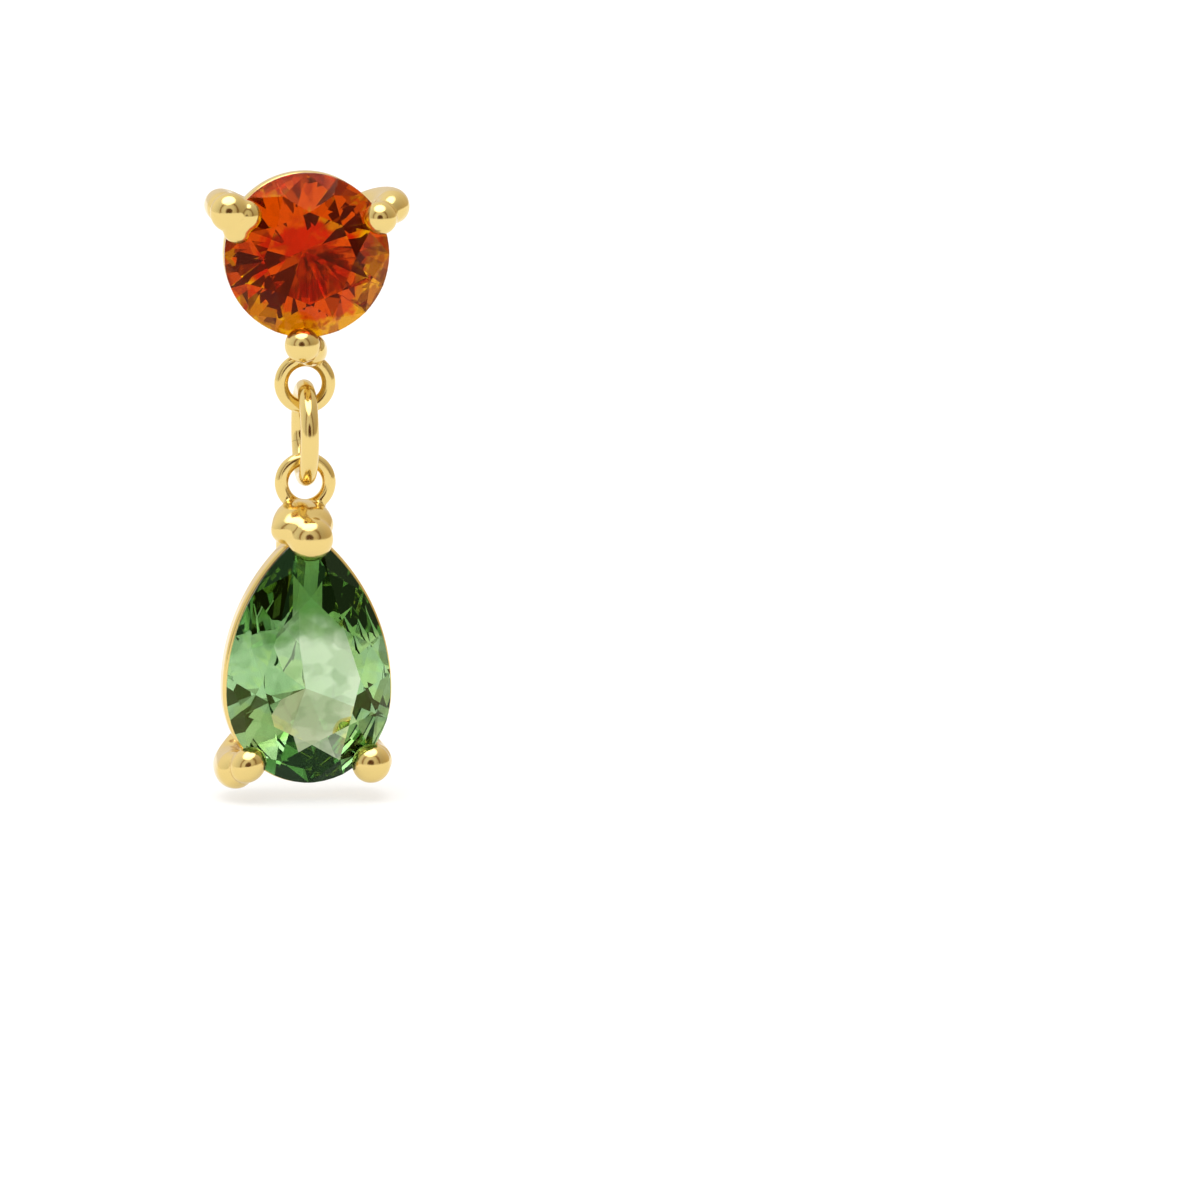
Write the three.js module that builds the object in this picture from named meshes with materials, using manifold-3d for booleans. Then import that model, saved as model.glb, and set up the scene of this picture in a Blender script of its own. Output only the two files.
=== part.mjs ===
// A drop earring of yellow gold. A round stone sits in a three-prong head with an ear post on
// its back and a small loop below. A jump ring hangs in that loop, and a pear stone in a
// three-prong basket hangs in the ring. Millimetres, +Z up, the stones' tables facing -Y.
// The origin is where the post leaves the head's back, the place of the ear lobe.
import * as THREE from "three";
import { mergeVertices } from "three/addons/utils/BufferGeometryUtils.js";
import Module from "manifold-3d";

// Stones
const ROUND_DIAMETER = 5;
const PEAR_WIDTH = 5;
const PEAR_LENGTH = 7.5;
const PEAR_BELLY_HEIGHT = 2.75; // from the lowest point up to the widest level
const PEAR_TIP_RADIUS = 0.7;
const GIRDLE_THICKNESS = 0.16;
const ROUND_CROWN_HEIGHT = 0.76;
const ROUND_PAVILION_DEPTH = 2.1;
const PEAR_CROWN_HEIGHT = 0.78;
const PEAR_PAVILION_DEPTH = 1.85;

// Prongs and their beads
const STUD_PRONG_DIAMETER = 0.96;
const PEAR_PRONG_DIAMETER = 1.08;
const TIP_PRONG_DIAMETER = 1.3; // the heavier prong over the pear's tip
const TIP_PRONG_BREADTH = 1.22; // how much wider than thick it is
const STUD_BEAD_DIAMETER = 1.08;
const PEAR_BEAD_DIAMETER = 1.18;
const TIP_BEAD_DIAMETER = 1.36;
const BEAD_OVERHANG = 0.38; // how far a bead reaches in over the stone's edge
const TIP_BEAD_OVERHANG = 0.63;
const BEAD_LIFT = 0.4; // height of a bead's centre over the girdle's middle
const NOTCH_DEPTH = 0.06; // how far the girdle is let into each prong
const TIP_NOTCH_DEPTH = 0.3;
const SOLDER = { breadth: 1.6, height: 1, depth: 1.5 }; // pad between the tip's prong and its loop
const SOLDER_OUTSET = 0.5; // from the pear's tip up to the pad's middle
const SOLDER_SETBACK = 0.4;

// Rails, hub and ear post
const RAIL_WALL = 0.42;
const RAIL_EDGE_ROUND = 0.12;
const ROUND_RAIL_OUTSET = 0.03; // from the girdle's edge out to the rail's outer face
const ROUND_RAIL_DROP = 0.45; // from the girdle's middle down to the rail's top
const ROUND_RAIL_HEIGHT = 0.55;
const PEAR_RAIL_OUTSET = 0.08;
const PEAR_RAIL_DROP = 0.3;
const PEAR_RAIL_HEIGHT = 0.85;
const BASE_RAIL_SCALE = 0.7; // the base rail's outline as a share of the pear's
const BASE_RAIL_HEIGHT = 0.5;
const CULET_CLEARANCE = 0.14;
const HUB_DIAMETER = 1.9;
const HUB_PROUD = 0.08; // how far the hub's back stands behind the prongs
const HUB_EDGE_ROUND = 0.15;
const POST_DIAMETER = 0.8;
const POST_LENGTH = 10;

// Loops and jump ring, each a ring of round wire
const LOOP_WIRE = 0.43;
const LOOP_HOLE = 1.01;
const LOOP_SINK = 0.35; // how far a loop is let into the prong that carries it
const STUD_LOOP_SETBACK = 0.62; // from the girdle's middle back to the loop
const PEAR_LOOP_SETBACK = 0.74; // under this the drop hangs upright
const RING_WIRE = 0.58;
const RING_HOLE = 2.08;

// Clearances
const STONE_CLEARANCE = 0.03;
const LINK_CLEARANCE = 0.03;
const MERGE_LENGTH = 0.01; // joins and cuts merge edges shorter than this

// How finely round things are faceted
const STONE_SIDES = 64;
const RAIL_SIDES = 40;
const WIRE_SIDES = 10;
const LOOP_STEPS = 24;
const RING_STEPS = 32;
const PRONG_STEPS = 10;
const BEAD_SIDES = 14;
const POST_SIDES = 16;
const ROUND_STEPS = 4;

// Cutting tables. Directions are those of the outline's normal, in degrees, 0 to the right and
// 90 up. main is where a main facet touches the girdle, half where two girdle halves meet.
const ROUND_FACETS = Array.from({ length: 8 }, (_, k) => ({ main: 90 - 45 * k, half: 67.5 - 45 * k }));
const PEAR_FACETS = [
  { main: 90, half: 56 },
  { main: 30, half: 17 },
  { main: 5, half: -16 },
  { main: -38, half: -64 },
  { main: -90, half: -116 },
  { main: -142, half: -164 },
  { main: -185, half: -197 },
  { main: -210, half: -236 },
];
// table is a share of the outline, star how far up the crown and lower how far down the
// pavilion the girdle halves reach, as shares of their heights. tableShift is in millimetres.
const ROUND_CUT = { table: 0.56, star: 0.58, lower: 0.78, tableShift: 0 };
const PEAR_CUT = { table: 0.6, star: 0.58, lower: 0.7, tableShift: 0.5 };

// Course of a prong from its foot to its shoulder at the girdle: reach is the share of the way
// out, drop the share of the foot's depth. From the shoulder it bends over to its bead.
const STUD_PRONG_COURSE = [
  { reach: 0, drop: 1 },
  { reach: 0.48, drop: 0.96 },
  { reach: 0.84, drop: 0.74 },
  { reach: 0.99, drop: 0.4 },
  { reach: 1, drop: 0.05 },
];
const PEAR_PRONG_COURSE = [
  { reach: 0, drop: 1 },
  { reach: 0.6, drop: 0.96 },
  { reach: 0.95, drop: 0.74 },
  { reach: 1.03, drop: 0.4 },
  { reach: 1, drop: 0.06 },
];
const STUD_PRONG = {
  wire: STUD_PRONG_DIAMETER,
  breadth: 1,
  notch: NOTCH_DEPTH,
  bead: STUD_BEAD_DIAMETER,
  overhang: BEAD_OVERHANG,
};
const PEAR_PRONG = { ...STUD_PRONG, wire: PEAR_PRONG_DIAMETER, bead: PEAR_BEAD_DIAMETER };
const TIP_PRONG = {
  wire: TIP_PRONG_DIAMETER,
  breadth: TIP_PRONG_BREADTH,
  notch: TIP_NOTCH_DEPTH,
  bead: TIP_BEAD_DIAMETER,
  overhang: TIP_BEAD_OVERHANG,
};
const STUD_PRONGS = [30, 150, -90].map((degrees) => ({ ...STUD_PRONG, degrees }));
const PEAR_PRONGS = [
  { ...TIP_PRONG, degrees: 90 },
  { ...PEAR_PRONG, degrees: -42 },
  { ...PEAR_PRONG, degrees: -138 },
];

const GOLD = { color: 0xe6bf62, roughness: 0.2, metalness: 1 };
const ORANGE_STONE = { color: 0xb8400f, roughness: 0.05, metalness: 0 };
const GREEN_STONE = { color: 0x7fb069, roughness: 0.05, metalness: 0 };

const wasm = await Module();
wasm.setup();

const radians = THREE.MathUtils.degToRad;
const direction = (degrees) => new THREE.Vector2(Math.cos(radians(degrees)), Math.sin(radians(degrees)));
const lift = (point, z) => new THREE.Vector3(point.x, point.y, z);

// Solids
function solidOf(geometry) {
  const bare = geometry.clone();
  bare.deleteAttribute("normal");
  bare.deleteAttribute("uv");
  const merged = mergeVertices(bare, 1e-5);
  return new wasm.Manifold(
    new wasm.Mesh({
      numProp: 3,
      tolerance: MERGE_LENGTH,
      vertProperties: new Float32Array(merged.attributes.position.array),
      triVerts: new Uint32Array(merged.index.array),
    }),
  );
}

function geometryOf(solid) {
  const mesh = solid.getMesh();
  const geometry = new THREE.BufferGeometry();
  geometry.setAttribute("position", new THREE.BufferAttribute(mesh.vertProperties, mesh.numProp));
  geometry.setIndex(new THREE.BufferAttribute(mesh.triVerts, 1));
  geometry.computeVertexNormals();
  return geometry;
}

const union = (geometries) => geometries.map(solidOf).reduce((sum, solid) => sum.add(solid));

// Outlines, seen from the front with X to the right and Y up. Each gives the point whose
// outward normal has a given direction.
const roundOutline = (diameter) => (degrees) => direction(degrees).multiplyScalar(diameter / 2);

// Half an ellipse below the widest level, a long arc up each side and a small one round the tip.
function pearOutline(width, length, belly, tipRadius) {
  const half = width / 2;
  const tipCentre = length - belly - tipRadius;
  const sideRadius = (half ** 2 + tipCentre ** 2 - tipRadius ** 2) / (2 * (half - tipRadius));
  const tipStart = Math.atan2(tipCentre, sideRadius - half);
  return (degrees) => {
    const normal = direction(degrees);
    if (normal.y < 0) {
      const scale = Math.hypot(half * normal.x, belly * normal.y);
      return new THREE.Vector2((half ** 2 * normal.x) / scale, (belly ** 2 * normal.y) / scale);
    }
    if (normal.y > Math.sin(tipStart)) {
      return normal.multiplyScalar(tipRadius).add(new THREE.Vector2(0, tipCentre));
    }
    const sideCentre = new THREE.Vector2(Math.sign(normal.x) * (half - sideRadius), 0);
    return normal.multiplyScalar(sideRadius).add(sideCentre);
  };
}

const offset = (outline, distance) => (degrees) =>
  outline(degrees).addScaledVector(direction(degrees), distance);
const scaled = (outline, share) => (degrees) => outline(degrees).multiplyScalar(share);

// Points of an outline, evenly spaced along it.
function spacedPoints(outline, count) {
  const fine = Array.from({ length: 720 }, (_, i) => outline(i / 2));
  const lengths = [0];
  fine.forEach((p, i) => lengths.push(lengths[i] + p.distanceTo(fine[(i + 1) % fine.length])));
  const total = lengths[fine.length];
  return Array.from({ length: count }, (_, k) => {
    const at = (k / count) * total;
    const i = lengths.findIndex((length) => length > at) - 1;
    const share = (at - lengths[i]) / (lengths[i + 1] - lengths[i]);
    return fine[i].clone().lerp(fine[(i + 1) % fine.length], share);
  });
}

// A brilliant cut: a table, eight mains, eight stars and sixteen halves above the girdle, eight
// mains and sixteen halves below. The culet is on the Z axis and the girdle's middle at 0.
function brilliant({ outline, facets, cut, crownHeight, pavilionDepth }, clearance = 0) {
  const girdle = offset(outline, clearance);
  const edge = GIRDLE_THICKNESS / 2 + clearance;
  const rough = new THREE.ExtrudeGeometry(new THREE.Shape(spacedPoints(girdle, STONE_SIDES)), {
    depth: 2 * edge + crownHeight + pavilionDepth,
    bevelEnabled: false,
  }).translate(0, 0, -edge - pavilionDepth);
  let stone = solidOf(rough);

  const trim = (a, b, c) => {
    const plane = new THREE.Plane().setFromCoplanarPoints(a, b, c);
    if (plane.constant < 0) plane.negate();
    stone = stone.trimByPlane(plane.normal.toArray(), -plane.constant);
  };
  const tableCorner = (touch) => {
    const centre = new THREE.Vector2(0, cut.tableShift);
    return touch.clone().sub(centre).multiplyScalar(cut.table).add(centre);
  };
  const culet = () => new THREE.Vector2(0, 0);

  for (const side of [
    { edge, height: crownHeight, share: cut.star, inner: tableCorner, stars: true },
    { edge: -edge, height: -pavilionDepth, share: cut.lower, inner: culet, stars: false },
  ]) {
    // Each main plane leans in from its tangent at the girdle to the table's corner or culet.
    const mains = facets.map(({ main, half }) => {
      const touch = girdle(main);
      const corner = side.inner(touch);
      const normal = direction(main);
      const reach = touch.dot(normal) - side.share * (touch.clone().sub(corner).dot(normal));
      return {
        normal,
        reach,
        touch: lift(touch, side.edge),
        halfPoint: lift(girdle(half), side.edge),
        corner: lift(corner, side.edge + side.height),
      };
    });
    mains.forEach((one, k) => {
      const two = mains[(k + 1) % mains.length];
      const cross = one.normal.cross(two.normal);
      const meet = new THREE.Vector3(
        (one.reach * two.normal.y - two.reach * one.normal.y) / cross,
        (two.reach * one.normal.x - one.reach * two.normal.x) / cross,
        side.edge + side.share * side.height,
      );
      const tangent = new THREE.Vector3(-one.normal.y, one.normal.x, 0);
      trim(one.touch, one.touch.clone().add(tangent), one.corner);
      trim(meet, one.touch, one.halfPoint);
      trim(meet, one.halfPoint, two.touch);
      if (side.stars) trim(meet, one.corner, two.corner);
    });
  }
  return stone;
}

// A band of even wall that follows an outline, its outer face outset from it.
function rail(outline, { outset, drop, height }) {
  const shape = new THREE.Shape(spacedPoints(offset(outline, outset), RAIL_SIDES));
  shape.holes.push(new THREE.Path(spacedPoints(offset(outline, outset - RAIL_WALL), RAIL_SIDES)));
  return new THREE.ExtrudeGeometry(shape, {
    depth: height - 2 * RAIL_EDGE_ROUND,
    bevelThickness: RAIL_EDGE_ROUND,
    bevelSize: RAIL_EDGE_ROUND,
    bevelOffset: -RAIL_EDGE_ROUND,
    bevelSegments: 1,
  }).translate(0, 0, RAIL_EDGE_ROUND - drop - height);
}

const ball = (diameter) =>
  new THREE.SphereGeometry(diameter / 2, BEAD_SIDES, BEAD_SIDES / 2).rotateX(Math.PI / 2);

// Middle of a prong where it passes the girdle, outside the outline.
const shoulder = (outline, { degrees, wire, notch }) => offset(outline, wire / 2 - notch)(degrees);

// A prong of wire from its foot up over the stone's edge, ending in a bead.
function prong(outline, spec, foot, footDepth, course) {
  const top = shoulder(outline, spec);
  const bead = lift(offset(outline, spec.bead / 2 - spec.overhang)(spec.degrees), BEAD_LIFT);
  const points = course.map(({ reach, drop }) => lift(foot.clone().lerp(top, reach), -drop * footDepth));
  const section = new THREE.Shape();
  section.absellipse(0, 0, (spec.breadth * spec.wire) / 2, spec.wire / 2, 0, 2 * Math.PI);
  const shank = new THREE.ExtrudeGeometry(section, {
    steps: PRONG_STEPS,
    curveSegments: WIRE_SIDES,
    bevelEnabled: false,
    extrudePath: new THREE.CatmullRomCurve3([...points, bead]),
  });
  return [
    shank,
    ball(spec.bead).translate(bead.x, bead.y, bead.z),
    ball(spec.wire).translate(points[0].x, points[0].y, points[0].z),
  ];
}

const wireRing = (hole, wire, steps) =>
  new THREE.TorusGeometry((hole + wire) / 2, wire / 2, WIRE_SIDES, steps);

// A loop lets the prong into its wire; its hole faces the front.
function loop(centre, setback) {
  return wireRing(LOOP_HOLE, LOOP_WIRE, LOOP_STEPS).translate(centre.x, centre.y, -setback);
}

const loopCentre = (outline, spec) =>
  offset(outline, spec.wire - spec.notch + LOOP_HOLE / 2 + LOOP_WIRE - LOOP_SINK)(spec.degrees);

const solderPad = (place) =>
  ball(1).scale(SOLDER.breadth, SOLDER.height, SOLDER.depth).translate(place.x, place.y, -SOLDER_SETBACK);

// A quarter of a rounded edge or tip, as points of a lathe profile.
function rounding(centreRadius, centreHeight, radius) {
  return Array.from({ length: ROUND_STEPS + 1 }, (_, k) => {
    const turn = direction((90 * k) / ROUND_STEPS).multiplyScalar(radius);
    return new THREE.Vector2(centreRadius + turn.x, centreHeight + turn.y);
  });
}

// The disc where the stud's prongs meet, with the ear post standing on its back.
function hubAndPost(back) {
  const hubRadius = HUB_DIAMETER / 2;
  const postRadius = POST_DIAMETER / 2;
  const thickness = STUD_PRONG_DIAMETER / 2 + HUB_PROUD;
  const profile = [
    new THREE.Vector2(0, -thickness),
    new THREE.Vector2(hubRadius, -thickness),
    ...rounding(hubRadius - HUB_EDGE_ROUND, -HUB_EDGE_ROUND, HUB_EDGE_ROUND),
    new THREE.Vector2(postRadius, 0),
    ...rounding(0, POST_LENGTH - postRadius, postRadius),
  ];
  return new THREE.LatheGeometry(profile, POST_SIDES).rotateX(-Math.PI / 2).translate(0, 0, -back);
}

// Stones, both seen from the front
const roundStone = {
  outline: roundOutline(ROUND_DIAMETER),
  facets: ROUND_FACETS,
  cut: ROUND_CUT,
  crownHeight: ROUND_CROWN_HEIGHT,
  pavilionDepth: ROUND_PAVILION_DEPTH,
};
const pearStone = {
  outline: pearOutline(PEAR_WIDTH, PEAR_LENGTH, PEAR_BELLY_HEIGHT, PEAR_TIP_RADIUS),
  facets: PEAR_FACETS,
  cut: PEAR_CUT,
  crownHeight: PEAR_CROWN_HEIGHT,
  pavilionDepth: PEAR_PAVILION_DEPTH,
};
const culetDepth = (stone) => GIRDLE_THICKNESS / 2 + stone.pavilionDepth;

// Stud: prongs from a hub behind the culet, one rail, the loop under the lowest prong
const studFootDepth = culetDepth(roundStone) + CULET_CLEARANCE + STUD_PRONG_DIAMETER / 2;
const studBack = studFootDepth + STUD_PRONG_DIAMETER / 2 + HUB_PROUD;
const studLoop = loopCentre(roundStone.outline, STUD_PRONGS[2]);

function studSetting() {
  const centre = new THREE.Vector2(0, 0);
  const metal = union([
    rail(roundStone.outline, {
      outset: ROUND_RAIL_OUTSET,
      drop: ROUND_RAIL_DROP,
      height: ROUND_RAIL_HEIGHT,
    }),
    ...STUD_PRONGS.flatMap((spec) =>
      prong(roundStone.outline, spec, centre, studFootDepth, STUD_PRONG_COURSE),
    ),
    loop(studLoop, STUD_LOOP_SETBACK),
    hubAndPost(studBack),
  ]);
  return metal.subtract(brilliant(roundStone, STONE_CLEARANCE));
}

// Pear basket: prongs from a base rail at the culet's depth, a rail under the girdle, the loop
// on top of the tip's prong
const pearLoop = loopCentre(pearStone.outline, PEAR_PRONGS[0]);

function pearSetting() {
  const baseOutline = scaled(pearStone.outline, BASE_RAIL_SCALE);
  const baseDrop = culetDepth(pearStone) + CULET_CLEARANCE - BASE_RAIL_HEIGHT;
  const footDepth = baseDrop + BASE_RAIL_HEIGHT / 2;
  const metal = union([
    rail(pearStone.outline, { outset: PEAR_RAIL_OUTSET, drop: PEAR_RAIL_DROP, height: PEAR_RAIL_HEIGHT }),
    rail(baseOutline, { outset: 0, drop: baseDrop, height: BASE_RAIL_HEIGHT }),
    ...PEAR_PRONGS.flatMap((spec) => {
      const foot = offset(baseOutline, -RAIL_WALL / 2)(spec.degrees);
      return prong(pearStone.outline, spec, foot, footDepth, PEAR_PRONG_COURSE);
    }),
    loop(pearLoop, PEAR_LOOP_SETBACK),
    solderPad(offset(pearStone.outline, SOLDER_OUTSET)(90)),
  ]);
  return metal.subtract(brilliant(pearStone, STONE_CLEARANCE));
}

// Heights of the hanging links. Each link's top wire rests in the one above.
const loopRadius = (LOOP_HOLE + LOOP_WIRE) / 2;
const ringRadius = (RING_HOLE + RING_WIRE) / 2;
const wireStep = (LOOP_WIRE + RING_WIRE) / 2 + LINK_CLEARANCE;
const linkY = STUD_LOOP_SETBACK - studBack;
const ringZ = studLoop.y - loopRadius + wireStep - ringRadius;
const pearLoopZ = ringZ - ringRadius + wireStep - loopRadius;

function named(name, geometry, look) {
  const mesh = new THREE.Mesh(geometry, new THREE.MeshStandardMaterial(look));
  mesh.name = name;
  return mesh;
}

// A head is drawn from the front, so it is turned up to stand with its table facing -Y.
function head(y, z, ...meshes) {
  const group = new THREE.Group();
  group.rotation.x = Math.PI / 2;
  group.position.set(0, y, z);
  return group.add(...meshes);
}

const stud = head(
  -studBack,
  0,
  named("round_stone", geometryOf(brilliant(roundStone)), ORANGE_STONE),
  named("stud_setting", geometryOf(studSetting()), GOLD),
);
const drop = head(
  linkY - PEAR_LOOP_SETBACK,
  pearLoopZ - pearLoop.y,
  named("pear_stone", geometryOf(brilliant(pearStone)), GREEN_STONE),
  named("pear_setting", geometryOf(pearSetting()), GOLD),
);
const ring = named("jump_ring", wireRing(RING_HOLE, RING_WIRE, RING_STEPS).rotateY(Math.PI / 2), GOLD);
ring.position.set(0, linkY, ringZ);

const earring = new THREE.Group();
earring.name = "drop_earring";
earring.add(stud, ring, drop);

export default earring;
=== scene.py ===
"""Looks of a drop earring: polished gold heads and links, two cut stones, a white light tent.

The gold is modelled on a bench in millimetres. A head lies on the bench as it is seen from the
front, X to the right, Y up and its stone's girdle at height 0, and is then stood up in the frame.
"""

import logging
import math
from abc import ABC, abstractmethod
from collections.abc import Callable, Iterator, Sequence
from contextlib import contextmanager
from dataclasses import dataclass
from enum import Enum
from itertools import pairwise
from typing import NamedTuple

import bmesh
import bpy
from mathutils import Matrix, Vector


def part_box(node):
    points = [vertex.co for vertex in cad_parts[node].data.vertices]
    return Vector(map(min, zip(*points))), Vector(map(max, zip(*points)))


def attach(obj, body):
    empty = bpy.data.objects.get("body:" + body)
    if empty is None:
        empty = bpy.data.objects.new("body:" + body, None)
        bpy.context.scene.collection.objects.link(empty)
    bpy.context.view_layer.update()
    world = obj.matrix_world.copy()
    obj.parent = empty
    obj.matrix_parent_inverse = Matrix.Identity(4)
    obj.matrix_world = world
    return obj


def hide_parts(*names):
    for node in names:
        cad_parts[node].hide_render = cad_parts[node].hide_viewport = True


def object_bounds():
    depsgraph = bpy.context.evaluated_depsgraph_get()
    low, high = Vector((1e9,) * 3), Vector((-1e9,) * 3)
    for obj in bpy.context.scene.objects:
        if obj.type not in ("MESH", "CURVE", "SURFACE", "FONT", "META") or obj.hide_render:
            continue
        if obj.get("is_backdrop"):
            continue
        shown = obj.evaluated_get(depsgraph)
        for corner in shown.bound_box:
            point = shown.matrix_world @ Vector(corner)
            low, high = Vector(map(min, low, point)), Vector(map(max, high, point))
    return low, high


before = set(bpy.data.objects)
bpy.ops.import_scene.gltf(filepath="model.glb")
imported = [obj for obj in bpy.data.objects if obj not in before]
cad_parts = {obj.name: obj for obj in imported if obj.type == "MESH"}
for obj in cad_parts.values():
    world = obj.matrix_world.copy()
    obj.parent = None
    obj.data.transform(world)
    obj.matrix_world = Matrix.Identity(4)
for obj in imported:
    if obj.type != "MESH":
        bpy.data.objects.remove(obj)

log = logging.getLogger("earring")

MM = 0.001  # a millimetre in the frame's metres

# What the boxes of the CAD stones don't tell, in millimetres
GIRDLE_THICKNESS = 0.16
ROUND_CROWN_HEIGHT = 0.76
PEAR_CROWN_HEIGHT = 0.78
PEAR_BELLY_HEIGHT = 2.75
PEAR_TIP_RADIUS = 0.7


class Slot(Enum):
    """The record's material slots."""

    GOLD = "gold"
    ORANGE = "orange_stone"
    GREEN = "green_stone"


class Body(Enum):
    """The record's moving bodies."""

    STUD = "stud"
    RING = "jump_ring"
    DROP = "drop"


# Bench


def deselect() -> None:
    """Lets go of everything that is selected."""
    bpy.ops.object.select_all(action="DESELECT")


def activate(*objects: bpy.types.Object) -> None:
    """Selects only these objects and makes the first one active.

    Args:
        objects: What to select.
    """
    deselect()
    for obj in objects:
        obj.select_set(True)
    bpy.context.view_layer.objects.active = objects[0]


@contextmanager
def editing(obj: bpy.types.Object) -> Iterator[None]:
    """Keeps an object in edit mode, with all of it selected, for the length of a with block.

    Args:
        obj: The mesh object to edit.
    """
    activate(obj)
    bpy.ops.object.mode_set(mode="EDIT")
    bpy.ops.mesh.select_mode(type="VERT")
    bpy.ops.mesh.select_all(action="SELECT")
    try:
        yield
    finally:
        bpy.ops.object.mode_set(mode="OBJECT")


def pick_faces(obj: bpy.types.Object, wanted: Callable[[bmesh.types.BMFace], bool]) -> None:
    """Selects the faces of an object in edit mode that pass a test.

    Args:
        obj: The object in edit mode.
        wanted: Says whether a face is selected.
    """
    bpy.ops.mesh.select_mode(type="FACE")
    bpy.ops.mesh.select_all(action="DESELECT")
    mesh = bmesh.from_edit_mesh(obj.data)
    for face in mesh.faces:
        face.select = wanted(face)
    mesh.select_flush_mode()
    bmesh.update_edit_mesh(obj.data)


def added(name: str) -> bpy.types.Object:
    """Names the object that an operator has just added.

    Args:
        name: The new object's name.

    Returns:
        The object.
    """
    obj = bpy.context.active_object
    obj.name = obj.data.name = name
    return obj


def modify(obj: bpy.types.Object, kind: str, **settings: object) -> None:
    """Adds a modifier, sets it and applies it at once.

    Args:
        obj: The object to shape.
        kind: Blender's name for the type of modifier.
        settings: Values for the modifier's own properties.
    """
    activate(obj)
    bpy.ops.object.modifier_add(type=kind)
    modifier = obj.modifiers[-1]
    for name, value in settings.items():
        setattr(modifier, name, value)
    bpy.ops.object.modifier_apply(modifier=modifier.name)


def flat(degrees: float, length: float = 1.0) -> Vector:
    """A vector in the plane of a stone's outline.

    Args:
        degrees: Its direction, 0 to the right and 90 up.
        length: Its length.

    Returns:
        The vector.
    """
    turn = math.radians(degrees)
    return Vector((math.cos(turn), math.sin(turn), 0)) * length


def curve_through(points: Sequence[Vector], steps: int) -> list[Vector]:
    """A smooth path through given points.

    Args:
        points: The points, in order.
        steps: Steps of the path between two of them.

    Returns:
        The path's points.
    """
    ends = [2 * points[0] - points[1], *points, 2 * points[-1] - points[-2]]
    path = []
    for before, start, stop, after in zip(ends, ends[1:], ends[2:], ends[3:]):
        for t in (k / steps for k in range(steps)):
            path.append(
                0.5
                * (
                    2 * start
                    + (stop - before) * t
                    + (2 * before - 5 * start + 4 * stop - after) * t**2
                    + (3 * start - before - 3 * stop + after) * t**3
                )
            )
    return [*path, points[-1]]


def sweep_wire(
    name: str, path: Sequence[Vector], diameters: Sequence[float], sides: int = 32
) -> bpy.types.Object:
    """Draws round wire along a path in the XZ plane, by extruding a disc and turning it.

    Args:
        name: Name of the new object.
        path: Points that the wire's middle passes through.
        diameters: The wire's diameter at each point.
        sides: Corners of the disc.

    Returns:
        The wire, closed at both ends.
    """
    steps = [stop - start for start, stop in pairwise(path)]
    tangents = [steps[0], *(a + b for a, b in pairwise(steps)), steps[-1]]
    leans = [math.atan2(tangent.x, tangent.z) for tangent in tangents]
    deselect()
    bpy.ops.mesh.primitive_circle_add(
        vertices=sides,
        radius=diameters[0] / 2,
        fill_type="NGON",
        location=path[0],
        rotation=(0, leans[0], 0),
    )
    wire = added(name)
    bpy.ops.object.transform_apply()
    with editing(wire):
        for step, point, (before, after), (thick, thin) in zip(
            steps, path[1:], pairwise(leans), pairwise(diameters)
        ):
            bpy.ops.mesh.extrude_region_move(TRANSFORM_OT_translate={"value": step})
            bpy.ops.transform.rotate(
                value=before - after, orient_axis="Y", orient_type="GLOBAL", center_override=point
            )
            if thick != thin:
                bpy.ops.transform.resize(value=(thin / thick,) * 3, center_override=point)
        bpy.ops.mesh.select_all(action="SELECT")
        bpy.ops.mesh.normals_make_consistent(inside=False)
    return wire


def ellipsoid(name: str, place: Vector, size: Sequence[float], degrees: float = 0) -> bpy.types.Object:
    """A ball pressed or stretched along its own axes.

    Args:
        name: Name of the new object.
        place: Its middle.
        size: Its diameters along, across and above the direction.
        degrees: Direction of its first diameter in the outline's plane.

    Returns:
        The ball.
    """
    deselect()
    bpy.ops.mesh.primitive_uv_sphere_add(
        segments=48, ring_count=24, radius=0.5, location=place, rotation=(0, 0, math.radians(degrees))
    )
    ball = added(name)
    ball.scale = size
    bpy.ops.object.transform_apply()
    return ball


# Outlines of the stones, seen from the front


class Outline(ABC):
    """A closed outline, given by the point whose outward normal has a given direction."""

    @abstractmethod
    def at(self, degrees: float) -> Vector:
        """A point of the outline.

        Args:
            degrees: Direction of the outward normal there.

        Returns:
            The point.
        """

    def outside(self, degrees: float, distance: float) -> Vector:
        """A point at some distance outside the outline.

        Args:
            degrees: Direction of the outward normal there.
            distance: How far outside; below 0 is inside.

        Returns:
            The point.
        """
        return self.at(degrees) + flat(degrees, distance)

    def corners(self, count: int, distance: float = 0, share: float = 1) -> list[Vector]:
        """Points evenly spaced along the outline.

        Args:
            count: How many.
            distance: How far outside they lie.
            share: The outline's scale, before that distance is added.

        Returns:
            The points, anticlockwise.
        """
        fine = [self.at(k / 2) * share + flat(k / 2, distance) for k in range(721)]
        lengths = [0.0]
        for start, stop in pairwise(fine):
            lengths.append(lengths[-1] + (stop - start).length)
        points, i = [], 0
        for at in (lengths[-1] * k / count for k in range(count)):
            while lengths[i + 1] <= at:
                i += 1
            points.append(fine[i].lerp(fine[i + 1], (at - lengths[i]) / (lengths[i + 1] - lengths[i])))
        return points


@dataclass(frozen=True)
class RoundOutline(Outline):
    """A circle."""

    diameter: float

    def at(self, degrees: float) -> Vector:
        """See Outline.at."""
        return flat(degrees, self.diameter / 2)


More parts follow.
